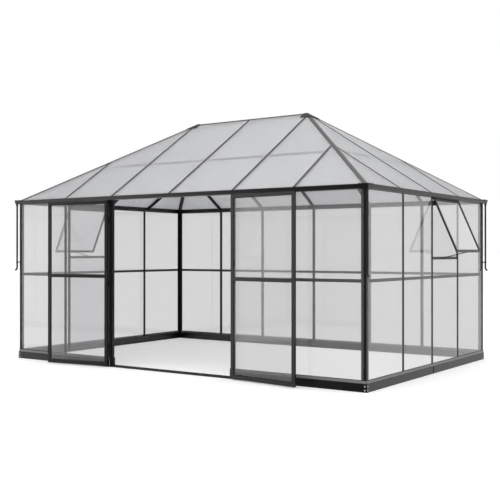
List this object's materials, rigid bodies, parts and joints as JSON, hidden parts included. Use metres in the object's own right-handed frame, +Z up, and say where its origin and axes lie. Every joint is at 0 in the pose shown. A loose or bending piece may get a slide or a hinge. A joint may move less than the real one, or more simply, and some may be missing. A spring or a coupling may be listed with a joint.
{
  "type": "glass greenhouse",
  "caption": "Walk-in glass greenhouse with a hipped opal roof, black bars, gutters with short downpipes, top-hung side vents and a hinged double door that opens outwards.",
  "frame": {"origin": "on the ground, under the middle of the overall box with the doors and vents open", "axes": "+X along the long front from left to right, +Y from the door front to the rear, +Z up"},
  "size_m": [5.0298, 3.159, 2.7903],
  "materials": {
    "black_frame": "satin black powder coat on extruded bars",
    "clear_glass": "clear toughened sheet",
    "opal_sheet": "opal twin-wall sheet, satin",
    "bare_aluminium": "mill finish",
    "black_plastic": "moulded, satin",
    "black_steel": "black coated steel"
  },
  "bodies": {
    "house": {"base_front_left": "black_frame", "base_front_right": "black_frame", "base_left": "black_frame", "base_rear": "black_frame", "base_right": "black_frame", "corner_post_front_left": "black_frame", "corner_post_front_right": "black_frame", "corner_post_rear_left": "black_frame", "corner_post_rear_right": "black_frame", "door_threshold": "black_frame", "downpipes": "black_plastic", "front_eave": "black_frame", "front_mid_rails": "black_frame", "front_mullions": "black_frame", "front_rafters": "black_frame", "front_roof_sheets": "opal_sheet", "front_wall_glass": "clear_glass", "gutter_corners": "black_frame", "hip_bars": "black_frame", "jamb_feet": "black_frame", "jamb_hinges": "black_steel", "left_door_jamb": "black_frame", "left_eave": "black_frame", "left_mid_rails": "black_frame", "left_mullions": "black_frame", "left_rafters": "black_frame", "left_roof_sheets": "opal_sheet", "left_vent_frame": "black_frame", "left_vent_glass": "clear_glass", "left_vent_stay": "black_frame", "left_vent_transom": "black_frame", "left_wall_glass": "clear_glass", "rear_eave": "black_frame", "rear_mid_rails": "black_frame", "rear_mullions": "black_frame", "rear_rafters": "black_frame", "rear_roof_sheets": "opal_sheet", "rear_wall_glass": "clear_glass", "ridge_beam": "black_frame", "ridge_caps": "black_frame", "right_door_jamb": "black_frame", "right_eave": "black_frame", "right_mid_rails": "black_frame", "right_mullions": "black_frame", "right_rafters": "black_frame", "right_roof_sheets": "opal_sheet", "right_vent_frame": "black_frame", "right_vent_glass": "clear_glass", "right_vent_stay": "black_frame", "right_vent_transom": "black_frame", "right_wall_glass": "clear_glass", "roof_purlins": "bare_aluminium"},
    "left_door": {"left_door_frame": "black_frame", "left_door_glass": "clear_glass", "left_door_hinges": "black_steel"},
    "right_door": {"right_door_frame": "black_frame", "right_door_glass": "clear_glass", "right_door_hinges": "black_steel"}
  },
  "joints": [
    {"name": "left_door_hinge", "type": "hinge", "parent": "house", "child": "left_door", "pos_m": [-0.812, -1.44514, 0.9], "axis": [0, 0, 1], "range_deg": [0, 172]},
    {"name": "right_door_hinge", "type": "hinge", "parent": "house", "child": "right_door", "pos_m": [0.812, -1.44514, 0.9], "axis": [0, 0, -1], "range_deg": [0, 172]}
  ]
}
